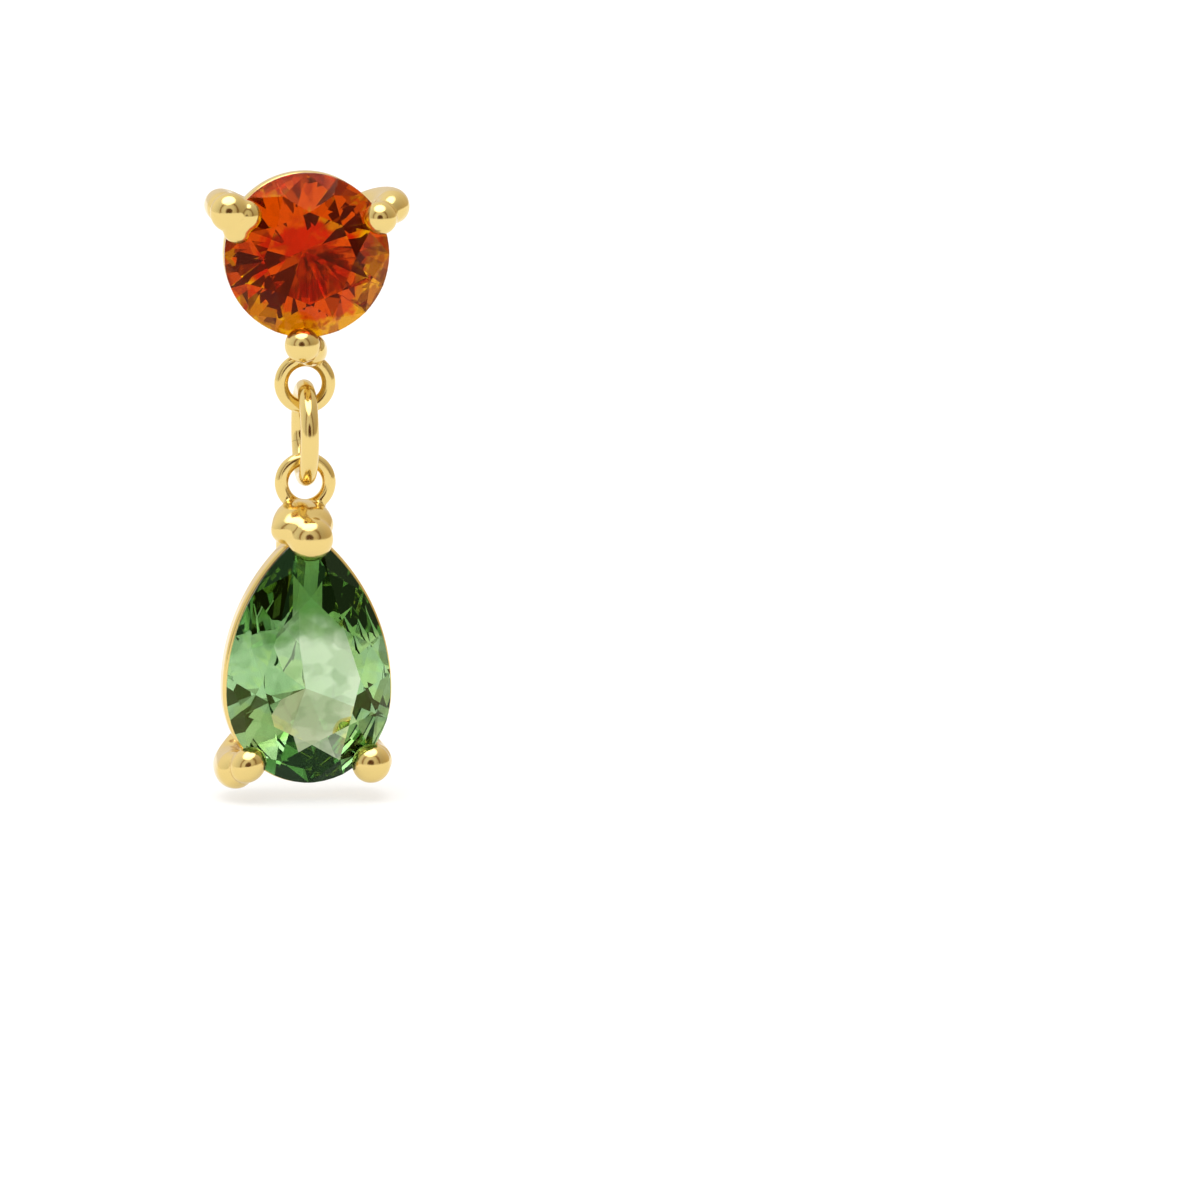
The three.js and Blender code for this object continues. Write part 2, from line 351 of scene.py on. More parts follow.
@dataclass(frozen=True)
class PearOutline(Outline):
    """Half an ellipse below the widest level, a long arc up each side, a small one round the tip."""

    width: float
    length: float
    belly: float
    tip_radius: float

    def at(self, degrees: float) -> Vector:
        """See Outline.at."""
        half = self.width / 2
        tip = self.length - self.belly - self.tip_radius
        side_radius = (half**2 + tip**2 - self.tip_radius**2) / (2 * (half - self.tip_radius))
        normal = flat(degrees)
        if normal.y < 0:
            scale = math.hypot(half * normal.x, self.belly * normal.y)
            return Vector((half**2 * normal.x, self.belly**2 * normal.y, 0)) / scale
        if normal.y > math.sin(math.atan2(tip, side_radius - half)):
            return normal * self.tip_radius + Vector((0, tip, 0))
        return normal * side_radius + Vector((math.copysign(1, normal.x) * (half - side_radius), 0, 0))


# Parts of the gold heads, in millimetres


class Turn(NamedTuple):
    """A point of a prong's course, from its foot to its shoulder at the girdle."""

    reach: float  # share of the way out from the foot
    drop: float  # share of the foot's depth


@dataclass(frozen=True)
class Bead:
    """A rounded pad of metal pressed over a stone's edge."""

    degrees: float
    outset: float  # from the stone's edge out to its middle
    lift: float  # height of its middle over the girdle
    size: tuple[float, float, float]  # along the outline's normal, across it, and in height

    def place(self, outline: Outline) -> Vector:
        """Where its middle is.

        Args:
            outline: The stone's outline.

        Returns:
            The point.
        """
        return outline.outside(self.degrees, self.outset) + Vector((0, 0, self.lift))

    def build(self, outline: Outline) -> bpy.types.Object:
        """Models it.

        Args:
            outline: The stone's outline.

        Returns:
            The pad.
        """
        return ellipsoid("bead", self.place(outline), self.size, self.degrees)


@dataclass(frozen=True)
class Prong:
    """A prong of round wire that rises from its foot and bends over the stone's edge."""

    degrees: float
    wire: float
    shoulder: float  # from the stone's edge out to the wire's middle
    course: tuple[Turn, ...]
    beads: tuple[Bead, ...]
    neck: float = 0.72  # share of the wire's diameter that is left where it enters the first bead
    breadth: float = 1.0  # share by which the wire is wider across its course
    steps: int = 7

    def build(self, outline: Outline, foot: Vector) -> list[bpy.types.Object]:
        """Models the wire, a ball that rounds its foot, and its beads.

        Args:
            outline: The stone's outline.
            foot: Where it starts.

        Returns:
            The pieces.
        """
        top = outline.outside(self.degrees, self.shoulder)
        end = outline.outside(self.degrees, self.beads[0].outset)
        outward = top - foot.xy.to_3d()
        points = [Vector((turn.reach * outward.length, 0, turn.drop * foot.z)) for turn in self.course]
        last = (end - foot.xy.to_3d()).dot(outward.normalized())
        points.append(Vector((last, 0, self.beads[0].lift * 0.8)))
        path = curve_through(points, self.steps)
        narrowing = [min(k / self.steps, 1) for k in range(len(path))][::-1]
        diameters = [self.wire * (self.neck + (1 - self.neck) * share) for share in narrowing]
        wire = sweep_wire("prong", path, diameters)
        wire.scale.y = self.breadth
        wire.rotation_euler.z = math.atan2(outward.y, outward.x)
        wire.location = foot.xy.to_3d()
        activate(wire)
        bpy.ops.object.transform_apply()
        heel = ellipsoid("heel", foot, (self.wire,) * 3)
        return [wire, heel, *(bead.build(outline) for bead in self.beads)]


@dataclass(frozen=True)
class Rail:
    """A band that follows a stone's outline."""

    outset: float  # from the outline out to the band's outer face
    drop: float  # from the girdle down to the band's top
    height: float
    wall: float = 0.42
    edge_round: float = 0.12
    share: float = 1.0  # scale of the outline that it follows
    sides: int = 144

    def build(self, outline: Outline) -> bpy.types.Object:
        """Models the band from a sheet of the outline's shape.

        Args:
            outline: The stone's outline.

        Returns:
            The band.
        """
        corners = outline.corners(self.sides, self.outset, self.share)
        deselect()
        bpy.ops.mesh.primitive_plane_add(size=self.wall, location=corners[0] - Vector((0, 0, self.drop)))
        band = added("rail")
        bpy.ops.object.transform_apply()
        with editing(band):
            bpy.ops.mesh.merge(type="CENTER")
            for start, stop in pairwise(corners):
                bpy.ops.mesh.extrude_vertices_move(TRANSFORM_OT_translate={"value": stop - start})
            bpy.ops.mesh.select_all(action="SELECT")
            bpy.ops.mesh.edge_face_add()
            bpy.ops.mesh.inset(thickness=self.wall, use_even_offset=True)
            bpy.ops.mesh.delete(type="FACE")
            bpy.ops.mesh.select_all(action="SELECT")
            bpy.ops.mesh.extrude_region_move(TRANSFORM_OT_translate={"value": (0, 0, -self.height)})
            bpy.ops.mesh.select_all(action="SELECT")
            bpy.ops.mesh.normals_make_consistent(inside=False)
        modify(band, "BEVEL", width=self.edge_round, segments=3, limit_method="ANGLE")
        return band


@dataclass(frozen=True)
class WireLoop:
    """A soldered ring of wire whose hole faces the front."""

    hole: float = 1.01
    wire: float = 0.43

    @property
    def radius(self) -> float:
        """Radius of the wire's middle line."""
        return (self.hole + self.wire) / 2

    def build(self, centre: Vector) -> bpy.types.Object:
        """Models it.

        Args:
            centre: Its middle.

        Returns:
            The loop.
        """
        deselect()
        bpy.ops.mesh.primitive_torus_add(
            major_radius=self.radius,
            minor_radius=self.wire / 2,
            major_segments=96,
            minor_segments=32,
            location=centre,
        )
        loop = added("loop")
        bpy.ops.object.transform_apply()
        return loop


class Station(NamedTuple):
    """A section of the hood."""

    outset: float  # from the pear's tip
    height: float  # over the girdle
    thickness: float


@dataclass(frozen=True)
class Hood:
    """The tongue of metal that runs from the loop's foot down to the bead on the pear's tip."""

    stations: tuple[Station, ...] = (
        Station(0.76, -0.7, 0.74),
        Station(0.64, -0.38, 0.98),
        Station(0.43, 0.02, 1.17),
        Station(0.18, 0.27, 1.2),
        Station(-0.06, 0.42, 0.7),
    )
    breadth: float = 1.46  # share by which it is wider than thick
    shift: float = -0.27  # to the left
    steps: int = 6

    def build(self, tip: Vector) -> bpy.types.Object:
        """Models it.

        Args:
            tip: The pear's tip.

        Returns:
            The hood.
        """
        points = [Vector((station.outset, 0, station.height)) for station in self.stations]
        sizes = [Vector((station.thickness, 0, 0)) for station in self.stations]
        diameters = [size.x for size in curve_through(sizes, self.steps)]
        hood = sweep_wire("hood", curve_through(points, self.steps), diameters)
        hood.scale.y = self.breadth
        hood.rotation_euler.z = math.pi / 2
        hood.location = tip + Vector((self.shift, 0, 0))
        activate(hood)
        bpy.ops.object.transform_apply()
        return hood


@dataclass(frozen=True)
class HubAndPost:
    """The disc where the stud's prongs meet, with the ear post standing on its back."""

    hub: float = 1.9
    thickness: float = 0.56
    post: float = 0.8
    length: float = 10.0
    edge_round: float = 0.15

    def build(self, depth: float) -> bpy.types.Object:
        """Models both from one disc.

        Args:
            depth: Depth of the hub's back behind the girdle.

        Returns:
            The hub with its post.
        """
        deselect()
        bpy.ops.mesh.primitive_cylinder_add(
            vertices=64,
            radius=self.hub / 2,
            depth=self.thickness,
            location=(0, 0, self.thickness / 2 - depth),
        )
        hub = added("hub")
        bpy.ops.object.transform_apply()
        modify(hub, "BEVEL", width=self.edge_round, segments=4, limit_method="ANGLE")
        with editing(hub):
            pick_faces(hub, lambda face: face.normal.z < -0.99)
            bpy.ops.mesh.inset(thickness=(self.hub - self.post) / 2 - self.edge_round)
            for rise, share in self.tip_rounding():
                bpy.ops.mesh.extrude_region_move(TRANSFORM_OT_translate={"value": (0, 0, -rise)})
                bpy.ops.transform.resize(value=(share, share, 1))
        return hub

    def tip_rounding(self, steps: int = 6) -> Iterator[tuple[float, float]]:
        """The post's straight length and the steps of its half round tip.

        Args:
            steps: Steps from the straight wire to the tip's end.

        Yields:
            How far to rise, and by what share the section then shrinks.
        """
        radius = self.post / 2
        yield self.length - radius, 1.0
        turns = [math.radians(85 * k / steps) for k in range(steps + 1)]
        for a, b in pairwise(turns):
            yield radius * (math.sin(b) - math.sin(a)), math.cos(b) / math.cos(a)


# Pieces of the scene


@dataclass(frozen=True)
class Seat:
    """A stone as its gold sees it: the CAD stone and its place in the frame, in millimetres."""

    node: str
    outline: Outline
    girdle_y: float
    centre_z: float
    cleft: float = 0.012  # clearance between the metal and the stone

    def cutter(self) -> bpy.types.Object:
        """A copy of the stone in millimetres, a little larger all round.

        Returns:
            The copy.
        """
        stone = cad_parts[self.node]
        deselect()
        cutter = bpy.data.objects.new("cutter", stone.data.copy())
        bpy.context.scene.collection.objects.link(cutter)
        cutter.data.materials.clear()
        cutter.scale = (1 / MM,) * 3
        activate(cutter)
        bpy.ops.object.transform_apply()
        with editing(cutter):
            bpy.ops.mesh.remove_doubles(threshold=0.001)
            bpy.ops.mesh.normals_make_consistent(inside=False)
            bpy.ops.transform.shrink_fatten(value=self.cleft)
        return cutter


@dataclass(frozen=True)
class Spot:
    """A round spot of a head that is rubbed down until its pieces flow into each other."""

    place: Vector
    reach: float
    passes: int


@dataclass(frozen=True)
class Polish:
    """How cast and soldered metal is melted together and polished."""

    voxel: float = 0.042
    passes: int = 6
    factor: float = 0.6
    sharp_degrees: float = 40.0

    def finish(self, head: bpy.types.Object, spots: Sequence[Spot]) -> None:
        """Melts the pieces of a head together and smooths it.

        Args:
            head: The joined pieces.
            spots: Where it is rubbed down further.
        """
        modify(head, "REMESH", mode="VOXEL", voxel_size=self.voxel)
        modify(head, "SMOOTH", factor=self.factor, iterations=self.passes)
        for spot in spots:
            group = head.vertex_groups.new(name="rubbed")
            for vertex in head.data.vertices:
                away = (vertex.co - spot.place).length / spot.reach
                if away < 1:
                    group.add([vertex.index], 1 - away**2, "REPLACE")
            modify(head, "SMOOTH", factor=self.factor, iterations=spot.passes, vertex_group=group.name)
            head.vertex_groups.clear()


class GoldPiece(ABC):
    """A piece of gold that takes the place of one CAD node."""

    node: str
    body: Body

    @abstractmethod
    def model(self) -> bpy.types.Object:
        """Models the piece in its place in the frame, in millimetres.

        Returns:
            The piece.
        """

    def make(self, finish: "Finish") -> bpy.types.Object:
        """Models, places and dresses the piece.

        Args:
            finish: The finish of its metal.

        Returns:
            The finished piece.
        """
        piece = self.model()
        piece.name = piece.data.name = f"gold_{self.node}"
        piece.scale = (MM,) * 3
        activate(piece)
        bpy.ops.object.transform_apply()
        bpy.ops.object.shade_smooth_by_angle(angle=math.radians(Polish.sharp_degrees))
        finish.dress(piece)
        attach(piece, self.body.value)
        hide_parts(self.node)
        report(piece)
        return piece


class Head(GoldPiece):
    """A gold head that holds a stone."""

    def __init__(self, seat: Seat, polish: Polish) -> None:
        """Keeps what the head is made for.

        Args:
            seat: The stone that it holds.
            polish: How its metal is finished.
        """
        self.seat = seat
        self.polish = polish

    @abstractmethod
    def pieces(self) -> list[bpy.types.Object]:
        """Models the head's pieces as it lies on the bench.

        Returns:
            The pieces, which reach into each other.
        """

    def spots(self) -> list[Spot]:
        """Where the head is rubbed down by hand."""
        return []

    def model(self) -> bpy.types.Object:
        """Solders the pieces, stands the head up and lets the stone in.

        Returns:
            The head.
        """
        parts = self.pieces()
        activate(*parts)
        bpy.ops.object.join()
        head = added(self.node)
        self.polish.finish(head, self.spots())
        head.rotation_euler.x = math.pi / 2
        head.location = (0, self.seat.girdle_y, self.seat.centre_z)
        activate(head)
        bpy.ops.object.transform_apply()
        cutter = self.seat.cutter()
        modify(head, "BOOLEAN", operation="DIFFERENCE", object=cutter, solver="EXACT")
        activate(cutter)
        bpy.ops.object.delete()
        return head


class StudHead(Head):
    """The round stone's head: three prongs from a hub, a rail, a loop and the ear post."""

    node = "stud_setting"
    body = Body.STUD
    course = (Turn(0, 1), Turn(0.48, 0.96), Turn(0.84, 0.74), Turn(0.99, 0.4), Turn(1, 0.05))
    foot_depth = 2.8
    rail = Rail(outset=-0.03, drop=0.45, height=0.55)
    loop = WireLoop()
    loop_place = Vector((0, -3.985, -0.62))
    post = HubAndPost()
    right = Prong(28, 1.04, 0.46, course, (Bead(27.5, -0.03, 0.42, (1.02, 1.02, 1.0)),), neck=0.66)
    left = Prong(
        150,
        0.98,
        0.4,
        course,
        (
            Bead(149.7, 0.24, 0.42, (1.2, 1.2, 1.06)),
            Bead(146, -0.24, 0.42, (0.96, 0.98, 0.86)),
            Bead(153, -0.14, 0.42, (0.96, 1.0, 0.86)),
            Bead(159, -0.2, 0.38, (0.86, 0.8, 0.76)),
        ),
    )
    low = Prong(-87, 0.98, 0.42, course, (Bead(-94, 0.19, 0.42, (1.08, 1.08, 1.02)),))

    def spots(self) -> list[Spot]:
        """See Head.spots."""
        return [Spot(self.seat.outline.outside(150, -0.25) + Vector((0, 0, 0.7)), 0.75, 14)]

    def pieces(self) -> list[bpy.types.Object]:
        """See Head.pieces."""
        outline = self.seat.outline
        foot = Vector((0, 0, -self.foot_depth))
        parts = [self.rail.build(outline), self.loop.build(self.loop_place)]
        for prong in (self.right, self.left, self.low):
            parts += prong.build(outline, foot)
        back = -self.seat.girdle_y
        return [*parts, self.post.build(back)]


class PearHead(Head):
    """The pear stone's basket: three prongs from a base rail, a rail under the girdle, a loop."""

    node = "pear_setting"
    body = Body.DROP
    course = (Turn(0, 1), Turn(0.6, 0.96), Turn(0.95, 0.74), Turn(1.03, 0.4), Turn(1, 0.06))
    rail = Rail(outset=0.08, drop=0.3, height=0.85)
    base = Rail(outset=0, drop=1.57, height=0.5, share=0.7)
    loop = WireLoop()
    loop_place = Vector((0, 6.33, -0.74))
    tip = Prong(
        90,
        1.3,
        0.36,
        course,
        (Bead(88, 0.05, 0.46, (1.36, 1.38, 1.22)), Bead(130, 0.44, 0.0, (0.66, 0.7, 0.96))),
        neck=0.8,
        breadth=1.22,
    )
    right = Prong(-42, 1.06, 0.32, course, (Bead(-44, 0.2, 0.42, (1.18, 1.2, 1.1)),))
    left = Prong(-138, 1.18, 0.57, course, (Bead(-137, 0.2, 0.42, (1.2, 1.02, 1.1)),), neck=0.66)
    hood = Hood()

    def pieces(self) -> list[bpy.types.Object]:
        """See Head.pieces."""
        outline = self.seat.outline
        parts = [self.rail.build(outline), self.base.build(outline), self.loop.build(self.loop_place)]
        for prong in (self.tip, self.right, self.left):
            inset = outline.at(prong.degrees) * self.base.share - flat(prong.degrees, self.base.wall / 2)
            foot = inset - Vector((0, 0, self.base.drop + self.base.height / 2))
            parts += prong.build(outline, foot)
        return [*parts, self.hood.build(outline.at(90))]

    def spots(self) -> list[Spot]:
        """See Head.spots."""
        tip = self.seat.outline.at(90)
        return [
            Spot(tip + Vector((-0.25, 0.75, 0.15)), 1.0, 40),
            Spot(tip + Vector((-0.8, 0.15, 0.3)), 0.66, 60),
        ]


class JumpRing(GoldPiece):
    """The ring of round wire between the loops, with its butt joint at the back."""

    node = "jump_ring"
    body = Body.RING
    sides = 40
    turns = 160
    slit_degrees = 0.4
    seam_degrees = 200.0

    def model(self) -> bpy.types.Object:
        """See GoldPiece.model."""
        low, high = (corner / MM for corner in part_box(self.node))
        centre = (low + high) / 2
        wire = (high.x - low.x) / 2
        radius = (high.z - low.z) / 2 - wire
        start = math.radians(self.seam_degrees)
        place = centre + Vector((0, -math.cos(start), math.sin(start))) * radius
        deselect()
        bpy.ops.mesh.primitive_circle_add(
            vertices=self.sides,
            radius=wire,
            fill_type="NGON",
            location=place,
            rotation=(-start, 0, 0),
        )
        ring = added("ring")
        bpy.ops.object.transform_apply()
        with editing(ring):
            bpy.ops.mesh.spin(
                steps=self.turns,
                angle=math.radians(360 - self.slit_degrees),
                center=centre,
                axis=(1, 0, 0),
            )
            bpy.ops.mesh.select_all(action="SELECT")
            bpy.ops.mesh.normals_make_consistent(inside=False)
        return ring


def report(piece: bpy.types.Object) -> None:
    """Logs a finished piece.

    Args:
        piece: The piece.
    """
    size = piece.dimensions / MM
    log.info("%s: %d faces, %.2f x %.2f x %.2f mm", piece.name, len(piece.data.polygons), *size)


# Finishes


def add_node(
    tree: bpy.types.NodeTree, kind: str, inputs: dict[str | int, object] | None = None, **settings: object
) -> bpy.types.Node:
    """Adds a shader node, sets it and links it.

    Args:
        tree: The tree to add to.
        kind: The node's type, without the word ShaderNode.
        inputs: For each input, by name or number, a value or the output that feeds it.
        settings: Values for the node's own properties.

    Returns:
        The node.
    """
    node = tree.nodes.new(f"ShaderNode{kind}")
    for name, value in settings.items():
        setattr(node, name, value)
    for name, value in (inputs or {}).items():
        if isinstance(value, bpy.types.NodeSocket):
            tree.links.new(value, node.inputs[name])
        else:
            node.inputs[name].default_value = value
    return node


class Effect(ABC):
    """A shader node group that is built once and placed in several materials."""

    name: str
    inputs: dict[str, str]  # kind of socket, for each input
    outputs: dict[str, str]

    @abstractmethod
    def wire(self, tree: bpy.types.NodeTree, given: bpy.types.NodeInputs) -> dict[str, bpy.types.NodeSocket]:
        """Adds the group's inner nodes.

        Args:
            tree: The group.
            given: The group's inputs.

        Returns:
            What feeds each output.
        """

    def group(self) -> bpy.types.NodeTree:
        """Builds the group, or finds it if it is built already.

        Returns:
            The group.
        """
        tree = bpy.data.node_groups.get(self.name)
        if tree:
            return tree
        tree = bpy.data.node_groups.new(self.name, "ShaderNodeTree")
        for name, kind in self.inputs.items():
            tree.interface.new_socket(name, in_out="INPUT", socket_type=f"NodeSocket{kind}")
        for name, kind in self.outputs.items():
            tree.interface.new_socket(name, in_out="OUTPUT", socket_type=f"NodeSocket{kind}")
        given = tree.nodes.new("NodeGroupInput").outputs
        end = tree.nodes.new("NodeGroupOutput")
        for name, socket in self.wire(tree, given).items():
            tree.links.new(socket, end.inputs[name])
        return tree

    def place(self, tree: bpy.types.NodeTree, inputs: dict[str | int, object]) -> bpy.types.NodeOutputs:
        """Places the group in a material.

        Args:
            tree: The material's tree.
            inputs: Values or sockets for the group's inputs.

        Returns:
            The group's outputs.
        """
        return add_node(tree, "Group", inputs, node_tree=self.group()).outputs


class StoneZones(Effect):
    """Colours painted in a cut stone for its light: a core and a rim of painted light and shade over the
    stone's own colour, dark clouds of painted shade, and a mirrored pair of painted bright spots.
    """

    name = "stone_zones"
    inputs = {
        "Vector": "Vector",
        "Core": "Color",
        "Rim": "Color",
        "Painted Shade": "Color",
        "Core Radius": "Float",
        "Rim Radius": "Float",
        "Wander": "Float",
        "Painted Shade Scale": "Float",
        "Painted Shade Share": "Float",
        "Painted Light": "Color",
        "Painted Light Place": "Vector",
        "Painted Light Radius": "Float",
    }
    outputs = {"Color": "Color"}

    def wire(self, tree: bpy.types.NodeTree, given: bpy.types.NodeInputs) -> dict[str, bpy.types.NodeSocket]:
        """See Effect.wire."""
        drift = add_node(
            tree, "TexNoise", {"Vector": given["Vector"], "Scale": 2.4, "Detail": 3.0, "Roughness": 0.6}
        )
        centred = add_node(tree, "Math", {0: drift.outputs[0], 1: 0.5}, operation="SUBTRACT")
        radius = add_node(tree, "VectorMath", {0: given["Vector"]}, operation="LENGTH")
        wandering = add_node(
            tree,
            "Math",
            {0: centred.outputs[0], 1: given["Wander"], 2: radius.outputs["Value"]},
            operation="MULTIPLY_ADD",
        )
        # From the core out to the rim: the two colours are painted light and shade over the stone's own
        # colour
        share = add_node(
            tree,
            "MapRange",
            {"Value": wandering.outputs[0], 1: given["Core Radius"], 2: given["Rim Radius"]},
            interpolation_type="SMOOTHSTEP",
        )
        zones = add_node(
            tree, "Mix", {0: share.outputs[0], 6: given["Core"], 7: given["Rim"]}, data_type="RGBA"
        )
        # Dark clouds: painted shade, laid in patches that grow towards the rim
        painted_shade = add_node(
            tree, "TexNoise", {"Vector": given["Vector"], "Scale": given["Painted Shade Scale"], "Detail": 2.0}
        )
        edge = add_node(
            tree, "MapRange", {"Value": painted_shade.outputs[0], 1: 0.51, 2: 0.56, 4: given["Painted Shade Share"]}
        )
        outer = add_node(tree, "MapRange", {"Value": share.outputs[0], 3: 0.5})
        painted_shade_mask = add_node(tree, "Math", {0: edge.outputs[0], 1: outer.outputs[0]}, operation="MULTIPLY")
        shaded_zones = add_node(
            tree,
            "Mix",
            {0: painted_shade_mask.outputs[0], 6: zones.outputs["Result"], 7: given["Painted Shade"]},
            data_type="RGBA",
        )
        # A mirrored pair of painted bright spots: painted light, like the light that the gold beads throw
        # into the stone
        place = add_node(tree, "SeparateXYZ", {0: given["Vector"]}).outputs
        side = add_node(tree, "Math", {0: place["X"]}, operation="ABSOLUTE")
        folded = add_node(tree, "CombineXYZ", {"X": side.outputs[0], "Z": place["Z"]})
        away = add_node(
            tree, "VectorMath", {0: folded.outputs[0], 1: given["Painted Light Place"]}, operation="DISTANCE"
        )
        ragged = add_node(
            tree,
            "Math",
            {0: centred.outputs[0], 1: given["Wander"], 2: away.outputs["Value"]},
            operation="MULTIPLY_ADD",
        )
        faded = add_node(tree, "Math", {0: given["Painted Light Radius"], 1: 0.8}, operation="MULTIPLY")
        spot = add_node(
            tree, "MapRange", {"Value": ragged.outputs[0], 1: given["Painted Light Radius"], 2: faded.outputs[0]}
        )
        lit = add_node(
            tree,
            "Mix",
            {0: spot.outputs[0], 6: shaded_zones.outputs["Result"], 7: given["Painted Light"]},
            data_type="RGBA",
        )
        return {"Color": lit.outputs["Result"]}


class WearAndShade(Effect):
    """Wear of polished metal: hair scratches, soft smudges and brown painted shade in the crevices."""

    name = "wear_and_crevice_shade"
    inputs = {
        "Vector": "Vector",
        "Metal": "Color",
        "Crevice Shade": "Color",
        "Crevice": "Float",
        "Roughness": "Float",
        "Smudge": "Float",
        "Scratch Scale": "Float",
    }
    outputs = {"Color": "Color", "Roughness": "Float", "Height": "Float"}

    def wire(self, tree: bpy.types.NodeTree, given: bpy.types.NodeInputs) -> dict[str, bpy.types.NodeSocket]:
        """See Effect.wire."""
        smudges = add_node(
            tree, "TexNoise", {"Vector": given["Vector"], "Scale": 0.9, "Detail": 4.0, "Roughness": 0.6}
        )
        rough = add_node(
            tree,
            "Math",
            {0: smudges.outputs[0], 1: given["Smudge"], 2: given["Roughness"]},
            operation="MULTIPLY_ADD",
        )
        broken = add_node(
            tree, "TexNoise", {"Vector": given["Vector"], "Scale": 3.5, "Detail": 3.0, "Roughness": 0.65}
        )
        patchy = add_node(tree, "MapRange", {"Value": broken.outputs[0], 1: 0.3, 2: 0.62, 3: 0.35, 4: 1.0})
        # Painted shade: brown laid into the crevices, broken up in patches
        crevice_shade_mask = add_node(
            tree, "Math", {0: given["Crevice"], 1: patchy.outputs[0]}, operation="MULTIPLY", use_clamp=True
        )
        colour = add_node(
            tree, "Mix", {0: crevice_shade_mask.outputs[0], 6: given["Metal"], 7: given["Crevice Shade"]}, data_type="RGBA"
        )
        scratches = add_node(
            tree,
            "TexNoise",
            {"Vector": given["Vector"], "Scale": given["Scratch Scale"], "Detail": 5.0, "Roughness": 0.7},
        )
        return {
            "Color": colour.outputs["Result"],
            "Roughness": rough.outputs[0],
            "Height": scratches.outputs[0],
        }


class Finish(ABC):
    """A material and the slot that it stands for."""

    slot: Slot

    @abstractmethod
    def material(self) -> bpy.types.Material:
        """Makes the material.

        Returns:
            The material.
        """

    def dress(self, piece: bpy.types.Object) -> None:
        """Gives a piece this finish.

        Args:
            piece: The piece.
        """
        piece.data.materials.clear()
        piece.data.materials.append(self.material())


class GoldWork(Enum):
    """How a piece of gold was made."""

    CAST = "cast_gold"
    DRAWN = "drawn_gold_wire"


@dataclass(frozen=True)
class Gold(Finish):
    """Polished yellow gold with light wear and brown painted shade in its crevices."""

    slot = Slot.GOLD
    work: GoldWork
    colour: tuple[float, float, float] = (0.79, 0.6, 0.225)
    # brown painted shade for the crevices
    crevice_shade: tuple[float, float, float] = (0.42, 0.2, 0.045)
    roughness: float = 0.12
    smudge: float = 0.07
    crevice: tuple[float, float] = (0.497, 0.465)  # pointiness where the painted crevice shade starts, and is full
    scratch_scale: float = 9.0
    scratch_depth: float = 0.0006  # millimetres

    def material(self) -> bpy.types.Material:
        """See Finish.material."""
        material = bpy.data.materials.get(self.work.value)
        if material:
            return material
        material = bpy.data.materials.new(self.work.value)
        material.use_nodes = True
        tree = material.node_tree
        where = add_node(tree, "TexCoord").outputs["Object"]
        millimetres = add_node(tree, "Mapping", {"Vector": where, "Scale": (1 / MM,) * 3})
        pointiness = add_node(tree, "NewGeometry").outputs["Pointiness"]
        # The crevices, found by pointiness, get painted shade
        hollow = add_node(
            tree, "MapRange", {"Value": pointiness, 1: self.crevice[0], 2: self.crevice[1]}
        )
        wear = WearAndShade().place(
            tree,
            {
                "Vector": millimetres.outputs[0],
                "Metal": (*self.colour, 1),
                "Crevice Shade": (*self.crevice_shade, 1),
                "Crevice": hollow.outputs[0],
                "Roughness": self.roughness,
                "Smudge": self.smudge,
                "Scratch Scale": self.scratch_scale,
            },
        )
        bump = add_node(
            tree, "Bump", {"Height": wear["Height"], "Strength": 1.0, "Distance": self.scratch_depth * MM}
        )
        shader = tree.nodes["Principled BSDF"]
        shader.inputs["Metallic"].default_value = 1
        tree.links.new(wear["Color"], shader.inputs["Base Color"])
        tree.links.new(wear["Roughness"], shader.inputs["Roughness"])
        tree.links.new(bump.outputs[0], shader.inputs["Normal"])
        return material


@dataclass(frozen=True)
class Zones:
    """Where the colours painted in a stone for its light and shade lie, as shares of the way from the
    table's middle to the rim.
    """

    # core and rim: painted light and shade over the stone's own colour
    core: tuple[float, float, float]
    rim: tuple[float, float, float]
    # colour of the dark clouds, which are painted shade
    painted_shade: tuple[float, float, float]
    core_radius: float
    rim_radius: float
    wander: float
    painted_shade_scale: float
    painted_shade_share: float
    # painted light: colour of a mirrored pair of bright spots
    painted_light: tuple[float, float, float]
    painted_light_place: tuple[float, float, float]  # of the right one of the two painted bright spots
    painted_light_radius: float
    centre: tuple[float, float, float] = (0, -0.8, 0)  # from the girdle's middle, in millimetres
    reach: tuple[float, float, float] = (2.5, 3.5, 2.5)  # millimetres across, in depth and along


